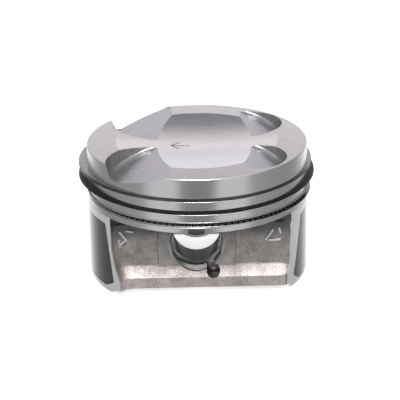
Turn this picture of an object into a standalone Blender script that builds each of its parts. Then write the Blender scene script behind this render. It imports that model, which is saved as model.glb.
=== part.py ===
"""Four-valve petrol engine piston with its ring set, for an 82.5 mm bore.

Metres, +Z up through the crown. The origin is the centre of the crown dish's floor, on the
piston axis. The wrist pin runs along Y, the intake valve pockets are at -X and the exhaust
valve pockets are at +X. Depths are measured down from the flat rim of the crown.
"""

import math

import bmesh
import bpy
import numpy as np
from mathutils import Vector

MM = 0.001

# Crown
LAND_RADIUS = 41.0 * MM
DISH_RADIUS = 30.1 * MM
DISH_DEPTH = 1.9 * MM
DISH_FLAT_RADIUS = 4.0 * MM
DISH_STEPS = 6
RIM_CHAMFER = 0.3 * MM
GROOVE_CHAMFER = 0.15 * MM

# Ring grooves: depth of the top face, height, and radius of the root
GROOVES = (
    (7.42 * MM, 1.30 * MM, 37.0 * MM),
    (12.02 * MM, 1.60 * MM, 37.0 * MM),
    (16.38 * MM, 2.10 * MM, 36.8 * MM),
)
BELT_DEPTH = 20.5 * MM

# Skirts: their edges are (depth in mm, half angle in degrees from the X axis)
SKIRT_RADIUS = 41.2 * MM
SKIRT_DEPTH = 50.6 * MM
SKIRT_WALL = 3.3 * MM
SKIRT_STEP = 0.8 * MM
SKIRT_CHAMFER = 0.4 * MM
INTAKE_EDGE = ((20.5, 38.8), (33.0, 40.5), (39.6, 43.7), (43.7, 47.0), (48.5, 50.0))
EXHAUST_EDGE = ((20.5, 33.2), (33.0, 34.6), (39.6, 35.5), (43.7, 36.0), (48.5, 36.4))

# Walls that join the skirts, as distances from the XZ plane at X = 0. Low down they step out
# by LIP_REACH, inside and outside. The ends are the X of the bottom edge's cut at its top and foot.
WALL_OUT = 23.0 * MM
WALL_THICKNESS = 3.2 * MM
WALL_TAPER = -0.014
LIP_REACH = 3.0 * MM
LIP_TOP_DEPTH = 39.6 * MM
LIP_DEPTH = 43.7 * MM
WALL_DEPTH = 48.5 * MM
WALL_END_LEFT = (-26.4 * MM, -32.5 * MM)
WALL_END_RIGHT = (33.3 * MM, 34.3 * MM)
WALL_BLEND_RUN = 6.0 * MM
WALL_BLEND_PULL = 1.5 * MM
WALL_BLEND_STEPS = 5

# Inside: the hollow's corner is drawn as (radius, drop below the crown's underside)
CROWN_UNDERSIDE = 8.4 * MM
BELT_INSIDE_RADIUS = 32.6 * MM
HOLLOW_CORNER = (
    (22.0 * MM, 0.0),
    (28.0 * MM, 1.4 * MM),
    (31.2 * MM, 4.2 * MM),
    (BELT_INSIDE_RADIUS, 8.0 * MM),
    (33.2 * MM, 11.1 * MM),
)
HOLLOW_SKIRT_TOP = 24.0 * MM
UNDERCUT_TOP = 13.5 * MM
UNDERCUT_ROOF_SHARE = 0.93
UNDERCUT_ROOF_HEIGHT = 2.5 * MM
UNDERCUT_NEAR_Y = 24.2 * MM
UNDERCUT_STEPS = 14

# Wrist pin bosses
PIN_X = -0.65 * MM
PIN_DEPTH = 32.4 * MM
PIN_RADIUS = 9.0 * MM
BOSS_INNER_Y = 7.1 * MM
BOSS_INNER_RADIUS = 10.35 * MM
BOSS_OUTER_Y = 25.0 * MM
BOSS_OUTER_RADIUS = 17.2 * MM
BOSS_PAD_HALF_WIDTH = 14.0 * MM
BOSS_PAD_HEIGHT = 0.5 * MM
BOSS_PAD_RAMP = 0.4 * MM
CIRCLIP_NEAR_Y = 18.3 * MM
CIRCLIP_WIDTH = 1.3 * MM
CIRCLIP_RADIUS = 10.3 * MM
CIRCLIP_SHOULDER_RADIUS = 9.4 * MM
CIRCLIP_SHOULDER_WIDTH = 0.5 * MM
RELIEF_RADIUS = 9.9 * MM
REMOVAL_NOTCH_RADIUS = 2.5 * MM
REMOVAL_NOTCH_REACH = 11.7 * MM
REMOVAL_NOTCH_ANGLE = math.radians(31)

# The pillar from each boss up to the crown: depth, half width, reach past the boss's inner face
PILLAR = (
    (5.4 * MM, 16.0 * MM, 1.5 * MM),
    (12.4 * MM, 12.5 * MM, 0.6 * MM),
    (PIN_DEPTH, 10.1 * MM, 0.0),
)
PILLAR_SPREAD = 1.5 * MM

# Valve pockets: centre, radius, floor slope and where the floor meets the rim plane
INTAKE_POCKET = (-14.0 * MM, 22.0 * MM, 18.1 * MM, 0.27, -9.3 * MM)
EXHAUST_POCKET = (18.5 * MM, 18.2 * MM, 13.5 * MM, -0.29, 16.8 * MM)
POCKET_FILLET = 1.4 * MM
POCKET_FILLET_SEGMENTS = 2
POCKET_CUTTER_LENGTH = 30.0 * MM

# Drain holes
DRAIN_RADIUS = 1.1 * MM
DRAIN_ANGLES = (155, 180, 205, -25, 0, 25)
LAND_DRAIN_RADIUS = 0.6 * MM
LAND_DRAIN_DEPTH = 19.3 * MM
LAND_DRAIN_ANGLES = (164, 196)
DRAIN_NEAR_RADIUS = 29.6 * MM
DRAIN_FAR_RADIUS = 37.8 * MM
LAND_NOTCH_WIDTH = 5.8 * MM
LAND_NOTCH_DEPTH = 19.0 * MM
LAND_NOTCH_NEAR_Y = 31.0 * MM

# Rings: height, radial thickness, free gap, how far the front sits out of the land
SIDE_CLEARANCE = 0.05 * MM
TOP_RING = (1.20 * MM, 3.2 * MM, 13.0 * MM, -0.4 * MM)
SECOND_RING = (1.50 * MM, 3.3 * MM, 16.0 * MM, -0.4 * MM)
OIL_RAIL = (0.40 * MM, 2.3 * MM, 4.0 * MM, -0.1 * MM)
TOP_RING_SHIFT_X = -0.8 * MM
SECOND_RING_SHIFT_X = -0.3 * MM
OIL_RAIL_SHIFT_X = 0.4 * MM
UPPER_RAIL_GAP_TURN = math.radians(28)
LOWER_RAIL_GAP_TURN = math.radians(-28)
EXPANDER_GAP = 0.04 * MM
EXPANDER_INNER_RADIUS = 37.3 * MM
EXPANDER_WEB_RADIUS = 38.1 * MM
EXPANDER_OUTER_RADIUS = 40.3 * MM
EXPANDER_WEB_DROP = 0.15 * MM
EXPANDER_FINGERS = 45
EXPANDER_FINGER_SHARE = 0.42

# Graphite skirt coatings: (half angle in degrees, depth) down one edge
COATING_THICKNESS = 0.35 * MM
COATING_GAP = 0.30 * MM
COATING_COLUMNS = 12
INTAKE_COATING = ((34.7, 23.4), (37.6, 34.0), (40.6, 45.8), (33.7, 48.4))
EXHAUST_COATING = ((23.3, 23.9), (27.1, 35.0), (31.6, 46.3), (25.4, 49.0))

# Segments of round shapes, and how far cutters run past what they cut
TURN_STEPS = 72
RING_STEPS = 48
BORE_STEPS = 40
BOSS_STEPS = 36
POCKET_STEPS = 44
NOTCH_STEPS = 16
DRAIN_STEPS = 10
OVERLAP = 1 * MM
OUTWARD_SCALE = 1.4
LARGE = 70 * MM
BELOW_DEPTH = SKIRT_DEPTH + 5 * MM

ALUMINIUM = (0.60, 0.60, 0.62, 1.0)


def level(depth):
    """The height of a depth below the crown's flat rim."""
    return DISH_DEPTH - depth


def make_collection(name):
    collection = bpy.data.collections.new(name)
    bpy.context.scene.collection.children.link(collection)
    return collection


def principled(name, color, roughness, metallic):
    material = bpy.data.materials.new(name)
    material.use_nodes = True
    shader = material.node_tree.nodes["Principled BSDF"]
    shader.inputs["Base Color"].default_value = color
    shader.inputs["Roughness"].default_value = roughness
    shader.inputs["Metallic"].default_value = metallic
    return material


def add_object(name, mesh, collection):
    thing = bpy.data.objects.new(name, mesh)
    collection.objects.link(thing)
    if collection.name.endswith("cutters"):
        thing.hide_render = True
        thing.display_type = "WIRE"
    return thing


def from_bmesh(name, bm, collection):
    bmesh.ops.recalc_face_normals(bm, faces=bm.faces)
    mesh = bpy.data.meshes.new(name)
    bm.to_mesh(mesh)
    bm.free()
    return add_object(name, mesh, collection)


def turned(name, profile, collection, steps=TURN_STEPS):
    """A profile of (radius, height) points, top to bottom on its outer side, turned about Z."""
    mesh = bpy.data.meshes.new(name)
    points = [(radius, 0.0, height) for radius, height in profile]
    mesh.from_pydata(points, [(i, i + 1) for i in range(len(points) - 1)], [])
    thing = add_object(name, mesh, collection)
    screw = thing.modifiers.new("Screw", "SCREW")
    screw.steps = steps
    screw.render_steps = steps
    screw.use_merge_vertices = True
    screw.merge_threshold = 0.00001
    return thing


def loft(name, sections, collection):
    """A closed solid through loops of equal length, capped at both ends."""
    bm = bmesh.new()
    loops = [[bm.verts.new(point) for point in section] for section in sections]
    for upper, lower in zip(loops, loops[1:]):
        for i, corner in enumerate(upper):
            before = i - 1
            bm.faces.new((upper[before], corner, lower[i], lower[before]))
    bm.faces.new(loops[0])
    bm.faces.new(reversed(loops[-1]))
    return from_bmesh(name, bm, collection)


def cylinder(name, radius, length, vertices, collection, end_radius=None):
    """A cylinder or cone along Z, centred on its origin."""
    bm = bmesh.new()
    bmesh.ops.create_cone(
        bm,
        cap_ends=True,
        segments=vertices,
        radius1=radius,
        radius2=radius if end_radius is None else end_radius,
        depth=length,
    )
    return from_bmesh(name, bm, collection)


def box(name, low, high, collection):
    bm = bmesh.new()
    bmesh.ops.create_cube(bm, size=1.0)
    low, high = Vector(low), Vector(high)
    for vertex in bm.verts:
        for axis in range(3):
            vertex.co[axis] = (low[axis] + high[axis]) / 2 + vertex.co[axis] * (high - low)[axis]
    return from_bmesh(name, bm, collection)


def boolean(target, other, operation="DIFFERENCE"):
    modifier = target.modifiers.new(f"{operation.title()} {other.name}", "BOOLEAN")
    modifier.operation = operation
    modifier.object = other
    modifier.solver = "EXACT"


def smooth(thing, degrees=30):
    thing.data.shade_smooth()
    thing.data.set_sharp_from_angle(angle=math.radians(degrees))


def body_profile():
    """The outer shape from the dish's centre to the skirt's bottom, with the three grooves."""
    sphere = (DISH_RADIUS**2 - DISH_FLAT_RADIUS**2) / (2 * DISH_DEPTH)
    points = [(0.0, level(DISH_DEPTH))]
    for i in range(DISH_STEPS + 1):
        radius = DISH_FLAT_RADIUS + (DISH_RADIUS - DISH_FLAT_RADIUS) * i / DISH_STEPS
        rise = (radius**2 - DISH_FLAT_RADIUS**2) / (2 * sphere)
        points.append((radius, level(DISH_DEPTH) + rise))
    points.append((LAND_RADIUS - RIM_CHAMFER, level(0)))
    points.append((LAND_RADIUS, level(RIM_CHAMFER)))
    for depth, height, root in GROOVES:
        points.append((LAND_RADIUS, level(depth - GROOVE_CHAMFER)))
        points.append((LAND_RADIUS - GROOVE_CHAMFER, level(depth)))
        points.append((root, level(depth)))
        points.append((root, level(depth + height)))
        points.append((LAND_RADIUS - GROOVE_CHAMFER, level(depth + height)))
        points.append((LAND_RADIUS, level(depth + height + GROOVE_CHAMFER)))
    points.append((LAND_RADIUS, level(BELT_DEPTH)))
    points.append((SKIRT_RADIUS, level(BELT_DEPTH + SKIRT_STEP)))
    points.append((SKIRT_RADIUS, level(SKIRT_DEPTH - SKIRT_CHAMFER)))
    points.append((SKIRT_RADIUS - SKIRT_CHAMFER, level(SKIRT_DEPTH)))
    points.append((0.0, level(SKIRT_DEPTH)))
    return points


def wall_distance(x, extra=0.0):
    return WALL_OUT + extra + WALL_TAPER * x


def edge_point(edge, depth, side):
    """A point of a skirt's outer edge in plan, at one depth. Side is the sign of its X."""
    depths, degrees = zip(*edge)
    angle = math.radians(float(np.interp(depth / MM, depths, degrees)))
    return side * SKIRT_RADIUS * math.cos(angle), SKIRT_RADIUS * math.sin(angle)


def wall_blend(edge, side, extra):
    """The wall's inner corner beside one skirt: its flat end, then a curve out to the skirt's edge."""
    flat_x = edge[0] - side * WALL_BLEND_RUN
    flat = (flat_x, wall_distance(flat_x, extra))
    corner = (edge[0] - side * WALL_BLEND_PULL, flat[1])
    points = [flat]
    for i in range(1, WALL_BLEND_STEPS):
        t = i / WALL_BLEND_STEPS
        points.append(
            tuple(
                (1 - t) ** 2 * a + 2 * t * (1 - t) * b + t**2 * c
                for a, b, c in zip(flat, corner, edge)
            )
        )
    outer_x = edge[0] * OUTWARD_SCALE
    return points + [edge, (outer_x, edge[1] * OUTWARD_SCALE), (outer_x, LARGE)]


def recess_outline(depth, extra, proud):
    """Plan of the space outside one wall at one depth: the skirt edges, the wall and the boss pad."""
    points = wall_blend(edge_point(INTAKE_EDGE, depth, -1), -1, extra)[::-1]
    half, ramp = BOSS_PAD_HALF_WIDTH, BOSS_PAD_RAMP
    for x, height in ((-half - ramp, 0.0), (-half, proud), (half, proud), (half + ramp, 0.0)):
        points.append((PIN_X + x, wall_distance(PIN_X + x, extra) + height))
    return points + wall_blend(edge_point(EXHAUST_EDGE, depth, 1), 1, extra)


def side_recess(name, side, collection):
    """The space outside one wall, below the ring belt. Side is the sign of its Y."""
    rows = (
        (BELT_DEPTH, 0.0, BOSS_PAD_HEIGHT),
        (PIN_DEPTH, 0.0, BOSS_PAD_HEIGHT),
        (LIP_TOP_DEPTH, 0.0, BOSS_PAD_HEIGHT),
        (LIP_DEPTH, LIP_REACH, 0.0),
        (BELOW_DEPTH, LIP_REACH, 0.0),
    )
    sections = [
        [(x, side * y, level(depth)) for x, y in recess_outline(depth, extra, proud)]
        for depth, extra, proud in rows
    ]
    return loft(name, sections, collection)


def belt_undercut(name, side, collection):
    """The pocket behind the ring belt, between it and one wall, open downwards."""
    start = math.asin(UNDERCUT_NEAR_Y / BELT_INSIDE_RADIUS)
    rows = (
        (UNDERCUT_TOP, UNDERCUT_ROOF_SHARE),
        (UNDERCUT_TOP + UNDERCUT_ROOF_HEIGHT, 1.0),
        (BELT_DEPTH + OVERLAP, 1.0),
    )
    sections = []
    for depth, share in rows:
        radius = BELT_INSIDE_RADIUS * share
        section = []
        for i in range(UNDERCUT_STEPS + 1):
            angle = start + (math.pi - 2 * start) * i / UNDERCUT_STEPS
            y = max(radius * math.sin(angle), UNDERCUT_NEAR_Y)
            section.append((radius * math.cos(angle), side * y, level(depth)))
        sections.append(section)
    return loft(name, sections, collection)


def boss(name, side, collection):
    """One wrist pin boss, as a cone along Y with a pillar up to the crown."""
    length = BOSS_OUTER_Y - BOSS_INNER_Y
    cone = cylinder(name, BOSS_OUTER_RADIUS, length, BOSS_STEPS, collection, BOSS_INNER_RADIUS)
    cone.rotation_euler = (side * math.pi / 2, 0, 0)
    cone.location = (PIN_X, side * (BOSS_OUTER_Y + BOSS_INNER_Y) / 2, level(PIN_DEPTH))
    sections = []
    for depth, near_half, reach in PILLAR:
        near, far_half = BOSS_INNER_Y - reach, near_half + PILLAR_SPREAD
        outline = (
            (-near_half, near),
            (near_half, near),
            (far_half, BOSS_OUTER_Y),
            (-far_half, BOSS_OUTER_Y),
        )
        sections.append([(PIN_X + x, side * y, level(depth)) for x, y in outline])
    return cone, loft(f"{name}_pillar", sections, collection)


def between_walls(collection):
    """The space between the two walls' inner faces, which step out low down as the walls do."""
    rows = (
        (-LARGE, 0.0),
        (LIP_TOP_DEPTH, 0.0),
        (LIP_DEPTH, LIP_REACH),
        (LARGE + LIP_DEPTH, LIP_REACH),
    )
    sections = []
    for depth, extra in rows:
        left = wall_distance(-LARGE, extra) - WALL_THICKNESS
        right = wall_distance(LARGE, extra) - WALL_THICKNESS
        outline = ((-LARGE, -left), (LARGE, -right), (LARGE, right), (-LARGE, left))
        sections.append([(x, y, level(depth)) for x, y in outline])
    return loft("between_walls", sections, collection)


def cavity(cutters):
    """The hollow under the crown, between the walls and the skirts, less the bosses."""
    skirt = SKIRT_RADIUS - SKIRT_WALL
    profile = [(0.0, level(CROWN_UNDERSIDE))]
    profile += [(radius, level(CROWN_UNDERSIDE + drop)) for radius, drop in HOLLOW_CORNER]
    profile += [(skirt, level(HOLLOW_SKIRT_TOP)), (skirt, level(BELOW_DEPTH))]
    profile.append((0.0, level(BELOW_DEPTH)))
    hollow = turned("cavity", profile, cutters)
    boolean(hollow, between_walls(cutters), "INTERSECT")
    for side, word in ((-1, "front"), (1, "back")):
        for solid in boss(f"boss_{word}", side, cutters):
            boolean(hollow, solid)
    return hollow


def wall_trim(cutters):
    """Cuts the walls' bottom edge up from the skirts' feet, with a slope at each end."""
    slope_height = SKIRT_DEPTH - WALL_DEPTH
    below = BELOW_DEPTH - WALL_DEPTH
    sections = []
    for drop in (0.0, below):
        left = WALL_END_LEFT[0] + (WALL_END_LEFT[1] - WALL_END_LEFT[0]) * drop / slope_height
        right = WALL_END_RIGHT[0] + (WALL_END_RIGHT[1] - WALL_END_RIGHT[0]) * drop / slope_height
        outline = ((left, -LARGE), (right, -LARGE), (right, LARGE), (left, LARGE))
        sections.append([(x, y, level(WALL_DEPTH + drop)) for x, y in outline])
    return loft("wall_trim", sections, cutters)


def pin_bore(cutters):
    """The wrist pin bore, its circlip grooves and the open reliefs at its ends."""
    shoulder_end = CIRCLIP_NEAR_Y - CIRCLIP_SHOULDER_WIDTH
    half = [
        (0.0, LARGE),
        (RELIEF_RADIUS, LARGE),
        (RELIEF_RADIUS, CIRCLIP_NEAR_Y + CIRCLIP_WIDTH),
        (CIRCLIP_RADIUS, CIRCLIP_NEAR_Y + CIRCLIP_WIDTH),
        (CIRCLIP_RADIUS, CIRCLIP_NEAR_Y),
        (CIRCLIP_SHOULDER_RADIUS, CIRCLIP_NEAR_Y),
        (CIRCLIP_SHOULDER_RADIUS, shoulder_end),
        (PIN_RADIUS, shoulder_end - (CIRCLIP_SHOULDER_RADIUS - PIN_RADIUS)),
    ]
    mirrored = [(radius, -height) for radius, height in reversed(half)]
    cutter = turned("pin_bore", half + mirrored, cutters, BORE_STEPS)
    cutter.rotation_euler = (math.pi / 2, 0, 0)
    cutter.location = (PIN_X, 0, level(PIN_DEPTH))
    return cutter


def removal_notch(name, side, cutters):
    """The round notch beside one circlip groove, for a hooked tool."""
    length = LARGE - CIRCLIP_NEAR_Y
    notch = cylinder(name, REMOVAL_NOTCH_RADIUS, length, NOTCH_STEPS, cutters)
    notch.rotation_euler = (math.pi / 2, 0, 0)
    notch.location = (
        PIN_X + REMOVAL_NOTCH_REACH * math.sin(REMOVAL_NOTCH_ANGLE),
        side * (CIRCLIP_NEAR_Y + length / 2),
        level(PIN_DEPTH) - REMOVAL_NOTCH_REACH * math.cos(REMOVAL_NOTCH_ANGLE),
    )
    return notch


def valve_pocket(name, pocket, side, cutters):
    """A disc-ended cutter square to one valve's axis, with a filleted lower edge."""
    centre_x, centre_y, radius, slope, zero_x = pocket
    tilt = math.atan(slope)
    cutter = cylinder(name, radius, POCKET_CUTTER_LENGTH, POCKET_STEPS, cutters)
    cutter.rotation_euler = (0, -tilt, 0)
    up = Vector((-math.sin(tilt), 0, math.cos(tilt)))
    floor = Vector((centre_x, side * centre_y, level(0) + slope * (centre_x - zero_x)))
    cutter.location = floor + up * POCKET_CUTTER_LENGTH / 2
    bevel = cutter.modifiers.new("Bevel", "BEVEL")
    bevel.width = POCKET_FILLET
    bevel.segments = POCKET_FILLET_SEGMENTS
    bevel.limit_method = "ANGLE"
    return cutter


def radial_hole(name, radius, depth, degrees, far, cutters):
    """A hole that points at the piston axis, from inside the ring belt out to a radius."""
    near = DRAIN_NEAR_RADIUS
    hole = cylinder(name, radius, far - near, DRAIN_STEPS, cutters)
    angle = math.radians(degrees)
    hole.rotation_euler = (0, math.pi / 2, angle)
    middle = (near + far) / 2
    hole.location = (middle * math.cos(angle), middle * math.sin(angle), level(depth))
    return hole


def coating_rows(rows, side, grow, radius):
    """Loops of points over one skirt's coating, row by row."""
    middle = 0.0 if side > 0 else 180.0
    table = []
    for i, (half_angle, depth) in enumerate(rows):
        reach = half_angle + math.degrees(grow / radius)
        depth = depth * MM + grow * (-1 if i == 0 else (i == len(rows) - 1))
        row = []
        for j in range(COATING_COLUMNS + 1):
            angle = math.radians(middle + reach * (2 * j / COATING_COLUMNS - 1))
            row.append((radius * math.cos(angle), radius * math.sin(angle), level(depth)))
        table.append(row)
    return table


def coating_skin(name, rows, side, grow, radius, thickness, collection):
    """A curved sheet over one skirt, given thickness towards the axis."""
    table = coating_rows(rows, side, grow, radius)
    bm = bmesh.new()
    verts = [[bm.verts.new(point) for point in row] for row in table]
    for upper, lower in zip(verts, verts[1:]):
        for j in range(len(upper) - 1):
            bm.faces.new((upper[j], lower[j], lower[j + 1], upper[j + 1]))
    mesh = bpy.data.meshes.new(name)
    bm.to_mesh(mesh)
    bm.free()
    skin = add_object(name, mesh, collection)
    solidify = skin.modifiers.new("Solidify", "SOLIDIFY")
    solidify.thickness = thickness
    solidify.offset = -1
    return skin


def ring_line(radius, gap, front, turn, shift_x):
    """Centre line of a split ring that has sprung open to its free gap and sits against the back.

    A ring of even section that presses evenly on a bore relaxes to this shape. Front is how
    far its closed side moves out, turn moves the gap round from +Y.
    """
    spread = gap / (3 * math.pi)
    shift = front - spread
    line = []
    for i in range(RING_STEPS + 1):
        a = -math.pi + 2 * math.pi * i / RING_STEPS
        out = radius + spread * (1 + 0.5 * a * math.sin(a)) + shift * math.cos(a)
        along = -spread * (a + 0.5 * (math.sin(a) - a * math.cos(a))) - shift * math.sin(a)
        b = a + turn
        line.append(
            Vector(
                (
                    out * math.sin(b) + along * math.cos(b) + shift_x,
                    -out * math.cos(b) + along * math.sin(b),
                    0.0,
                )
            )
        )
    return line


def split_ring(name, ring, top_depth, turn, shift_x, collection):
    """A flat split ring of rectangular section, with its origin on the piston axis."""
    height, thickness, gap, front = ring
    line = ring_line(LAND_RADIUS - thickness / 2, gap, front, turn, shift_x)
    sections = []
    for i, point in enumerate(line):
        ahead = line[min(i + 1, RING_STEPS)] - line[max(i - 1, 0)]
        outward = Vector((ahead.y, -ahead.x, 0)).normalized() * thickness / 2
        up = Vector((0, 0, height / 2))
        sections.append(
            (point + outward + up, point + outward - up, point - outward - up, point - outward + up)
        )
    ring_object = loft(name, sections, collection)
    ring_object.location = (0, 0, level(top_depth + height / 2))
    return ring_object


def oil_ring_spring(name, top_depth, height, collection):
    """The closed expander between the rails, as a ring of fingers on a thin web."""
    sections = []
    for i in range(EXPANDER_FINGERS * 4):
        step, at_end = divmod(i, 2)
        turn = math.pi * (step + at_end * EXPANDER_FINGER_SHARE) / EXPANDER_FINGERS
        finger = step % 2 == 0
        outer = EXPANDER_OUTER_RADIUS if finger else EXPANDER_WEB_RADIUS
        half = height / 2 if finger else height / 2 - EXPANDER_WEB_DROP
        inner = EXPANDER_INNER_RADIUS
        across, along = math.cos(turn), math.sin(turn)
        corners = ((outer, half), (outer, -half), (inner, -half), (inner, half))
        sections.append([(r * across, r * along, z) for r, z in corners])
    bm = bmesh.new()
    loops = [[bm.verts.new(point) for point in section] for section in sections]
    for k, loop in enumerate(loops):
        after = loops[(k + 1) % len(loops)]
        for i in range(4):
            bm.faces.new((loop[i - 1], loop[i], after[i], after[i - 1]))
    ring_object = from_bmesh(name, bm, collection)
    ring_object.location = (0, 0, level(top_depth + height / 2))
    return ring_object


def build_body(parts, cutters):
    body = turned("piston_body", body_profile(), parts)
    for side, word in ((-1, "front"), (1, "back")):
        boolean(body, side_recess(f"recess_{word}", side, cutters))
        boolean(body, belt_undercut(f"undercut_{word}", side, cutters))
        notch_y = sorted((side * LAND_NOTCH_NEAR_Y, side * LARGE))
        half = LAND_NOTCH_WIDTH / 2
        low = (PIN_X - half, notch_y[0], level(BELT_DEPTH + OVERLAP))
        high = (PIN_X + half, notch_y[1], level(LAND_NOTCH_DEPTH))
        boolean(body, box(f"land_notch_{word}", low, high, cutters))
    boolean(body, cavity(cutters))
    boolean(body, wall_trim(cutters))
    boolean(body, pin_bore(cutters))
    for side, word in ((-1, "front"), (1, "back")):
        boolean(body, removal_notch(f"removal_notch_{word}", side, cutters))
        boolean(body, valve_pocket(f"intake_pocket_{word}", INTAKE_POCKET, side, cutters))
        boolean(body, valve_pocket(f"exhaust_pocket_{word}", EXHAUST_POCKET, side, cutters))
    oil_top, oil_height, _ = GROOVES[2]
    drain_depth = oil_top + oil_height / 2
    for i, degrees in enumerate(DRAIN_ANGLES):
        name, far = f"drain_{i}", DRAIN_FAR_RADIUS
        boolean(body, radial_hole(name, DRAIN_RADIUS, drain_depth, degrees, far, cutters))
    for i, degrees in enumerate(LAND_DRAIN_ANGLES):
        name, depth = f"land_drain_{i}", LAND_DRAIN_DEPTH
        boolean(body, radial_hole(name, LAND_DRAIN_RADIUS, depth, degrees, LARGE, cutters))
    seat_radius = SKIRT_RADIUS + OVERLAP
    seat_thickness = COATING_THICKNESS + COATING_GAP + OVERLAP
    for word, rows, side in (("intake", INTAKE_COATING, -1), ("exhaust", EXHAUST_COATING, 1)):
        name = f"coating_seat_{word}"
        seat = coating_skin(name, rows, side, COATING_GAP, seat_radius, seat_thickness, cutters)
        boolean(body, seat)
    return body


def main():
    for thing in list(bpy.data.objects):
        bpy.data.objects.remove(thing)
    parts = make_collection("piston")
    cutters = make_collection("piston_cutters")
    finish = {
        "piston_body": principled("machined_aluminium", ALUMINIUM, 0.32, 1.0),
        "top_compression_ring": principled("nitrided_steel", (0.16, 0.16, 0.17, 1), 0.35, 1.0),
        "second_compression_ring": principled("phosphated_iron", (0.06, 0.06, 0.065, 1), 0.5, 0.8),
        "oil_ring_upper_rail": principled("upper_rail_steel", (0.50, 0.50, 0.52, 1), 0.28, 1.0),
        "oil_ring_expander": principled("expander_steel", (0.10, 0.10, 0.10, 1), 0.45, 0.9),
        "oil_ring_lower_rail": principled("lower_rail_steel", (0.50, 0.50, 0.52, 1), 0.28, 1.0),
        "intake_side_coating": principled("intake_side_graphite", (0.09, 0.09, 0.1, 1), 0.42, 0.3),
        "exhaust_side_coating": principled("exhaust_side_graphite", (0.09, 0.09, 0.1, 1), 0.42, 0.3),
    }
    build_body(parts, cutters)
    rows = (
        ("top_compression_ring", TOP_RING, GROOVES[0][0], 0.0, TOP_RING_SHIFT_X),
        ("second_compression_ring", SECOND_RING, GROOVES[1][0], 0.0, SECOND_RING_SHIFT_X),
        ("oil_ring_upper_rail", OIL_RAIL, GROOVES[2][0], UPPER_RAIL_GAP_TURN, OIL_RAIL_SHIFT_X),
    )
    for name, ring, groove_top, turn, shift_x in rows:
        split_ring(name, ring, groove_top + SIDE_CLEARANCE, turn, shift_x, parts)
    rail = OIL_RAIL[0]
    oil_top, oil_height, _ = GROOVES[2]
    lower_top = oil_top + oil_height - SIDE_CLEARANCE - rail
    split_ring(
        "oil_ring_lower_rail", OIL_RAIL, lower_top, LOWER_RAIL_GAP_TURN, OIL_RAIL_SHIFT_X, parts
    )
    spring_top = oil_top + SIDE_CLEARANCE + rail + EXPANDER_GAP
    oil_ring_spring("oil_ring_expander", spring_top, lower_top - EXPANDER_GAP - spring_top, parts)
    for name, outline, side in (
        ("intake_side_coating", INTAKE_COATING, -1),
        ("exhaust_side_coating", EXHAUST_COATING, 1),
    ):
        coating_skin(name, outline, side, 0.0, SKIRT_RADIUS, COATING_THICKNESS, parts)
    for name, material in finish.items():
        thing = parts.objects[name]
        thing.data.materials.append(material)
        smooth(thing)


main()
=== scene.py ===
import math

import bmesh
import bpy
import numpy as np
from mathutils import Matrix, Vector


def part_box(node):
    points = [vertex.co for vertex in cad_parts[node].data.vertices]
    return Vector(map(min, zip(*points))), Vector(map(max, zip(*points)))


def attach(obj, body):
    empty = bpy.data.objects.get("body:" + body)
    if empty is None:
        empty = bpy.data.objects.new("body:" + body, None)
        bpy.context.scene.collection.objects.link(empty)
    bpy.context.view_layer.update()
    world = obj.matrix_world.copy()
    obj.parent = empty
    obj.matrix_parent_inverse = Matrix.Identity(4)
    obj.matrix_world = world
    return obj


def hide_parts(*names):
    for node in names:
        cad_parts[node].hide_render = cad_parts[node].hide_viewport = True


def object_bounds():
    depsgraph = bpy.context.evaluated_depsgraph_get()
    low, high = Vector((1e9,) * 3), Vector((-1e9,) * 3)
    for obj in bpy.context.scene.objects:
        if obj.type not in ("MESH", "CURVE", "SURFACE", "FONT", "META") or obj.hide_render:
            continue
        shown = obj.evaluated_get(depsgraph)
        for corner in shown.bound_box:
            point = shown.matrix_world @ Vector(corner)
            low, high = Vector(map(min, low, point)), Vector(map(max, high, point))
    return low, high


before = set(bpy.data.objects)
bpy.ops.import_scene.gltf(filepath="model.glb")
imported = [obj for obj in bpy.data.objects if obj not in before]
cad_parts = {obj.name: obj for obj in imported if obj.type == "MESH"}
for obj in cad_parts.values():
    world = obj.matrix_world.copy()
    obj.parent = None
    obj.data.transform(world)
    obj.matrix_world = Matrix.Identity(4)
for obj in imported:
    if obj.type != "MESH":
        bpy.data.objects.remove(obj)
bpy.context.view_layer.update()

MM = 0.001

# The body. Depths are measured down from the crown's flat rim, and the origin is the dish's floor.
LAND_RADIUS = 41.0 * MM
DISH_RADIUS = 30.1 * MM
DISH_DEPTH = 1.9 * MM
DISH_FLAT_RADIUS = 4.0 * MM
DISH_STEPS = 20
RIM_CHAMFER = 0.22 * MM
RIM_FALL = 0.18 * MM
GROOVE_CHAMFER = 0.08 * MM
GROOVE_FILLET = 0.2 * MM
# Ring grooves: depth of the upper side, height, radius of the root
GROOVES = (
    (7.42 * MM, 1.30 * MM, 37.0 * MM),
    (12.02 * MM, 1.60 * MM, 37.0 * MM),
    (16.38 * MM, 2.10 * MM, 36.8 * MM),
)
BELT_DEPTH = 20.5 * MM
SKIRT_RADIUS = 41.2 * MM
SKIRT_DEPTH = 50.6 * MM
SKIRT_WALL = 3.3 * MM
SKIRT_STEP = 0.8 * MM
SKIRT_CHAMFER = 0.5 * MM
WALL_OUT = 23.0 * MM
WALL_THICKNESS = 3.2 * MM
WALL_TAPER = -0.014
WALL_ROW_DEPTHS = (27.0 * MM, 30.0 * MM, 33.0 * MM, 36.5 * MM)
WALL_FOOT_CHAMFER = 0.6 * MM
BELT_FILLET = 1.5 * MM
FILLET_STEPS = 6
LEDGE_REACH = 0.5 * MM
LEDGE_DEPTHS = (23.6 * MM, 24.2 * MM)
LIP_REACH = 3.0 * MM
LIP_TOP_DEPTH = 40.2 * MM
LIP_DEPTH = 44.4 * MM
# How far the lip has reached out, as (share of its height, share of its reach)
LIP_CURVE = ((0.0, 0.0), (0.08, 0.03), (0.18, 0.11), (0.94, 0.945), (1.0, 1.0))
WALL_DEPTH = 48.5 * MM
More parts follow.
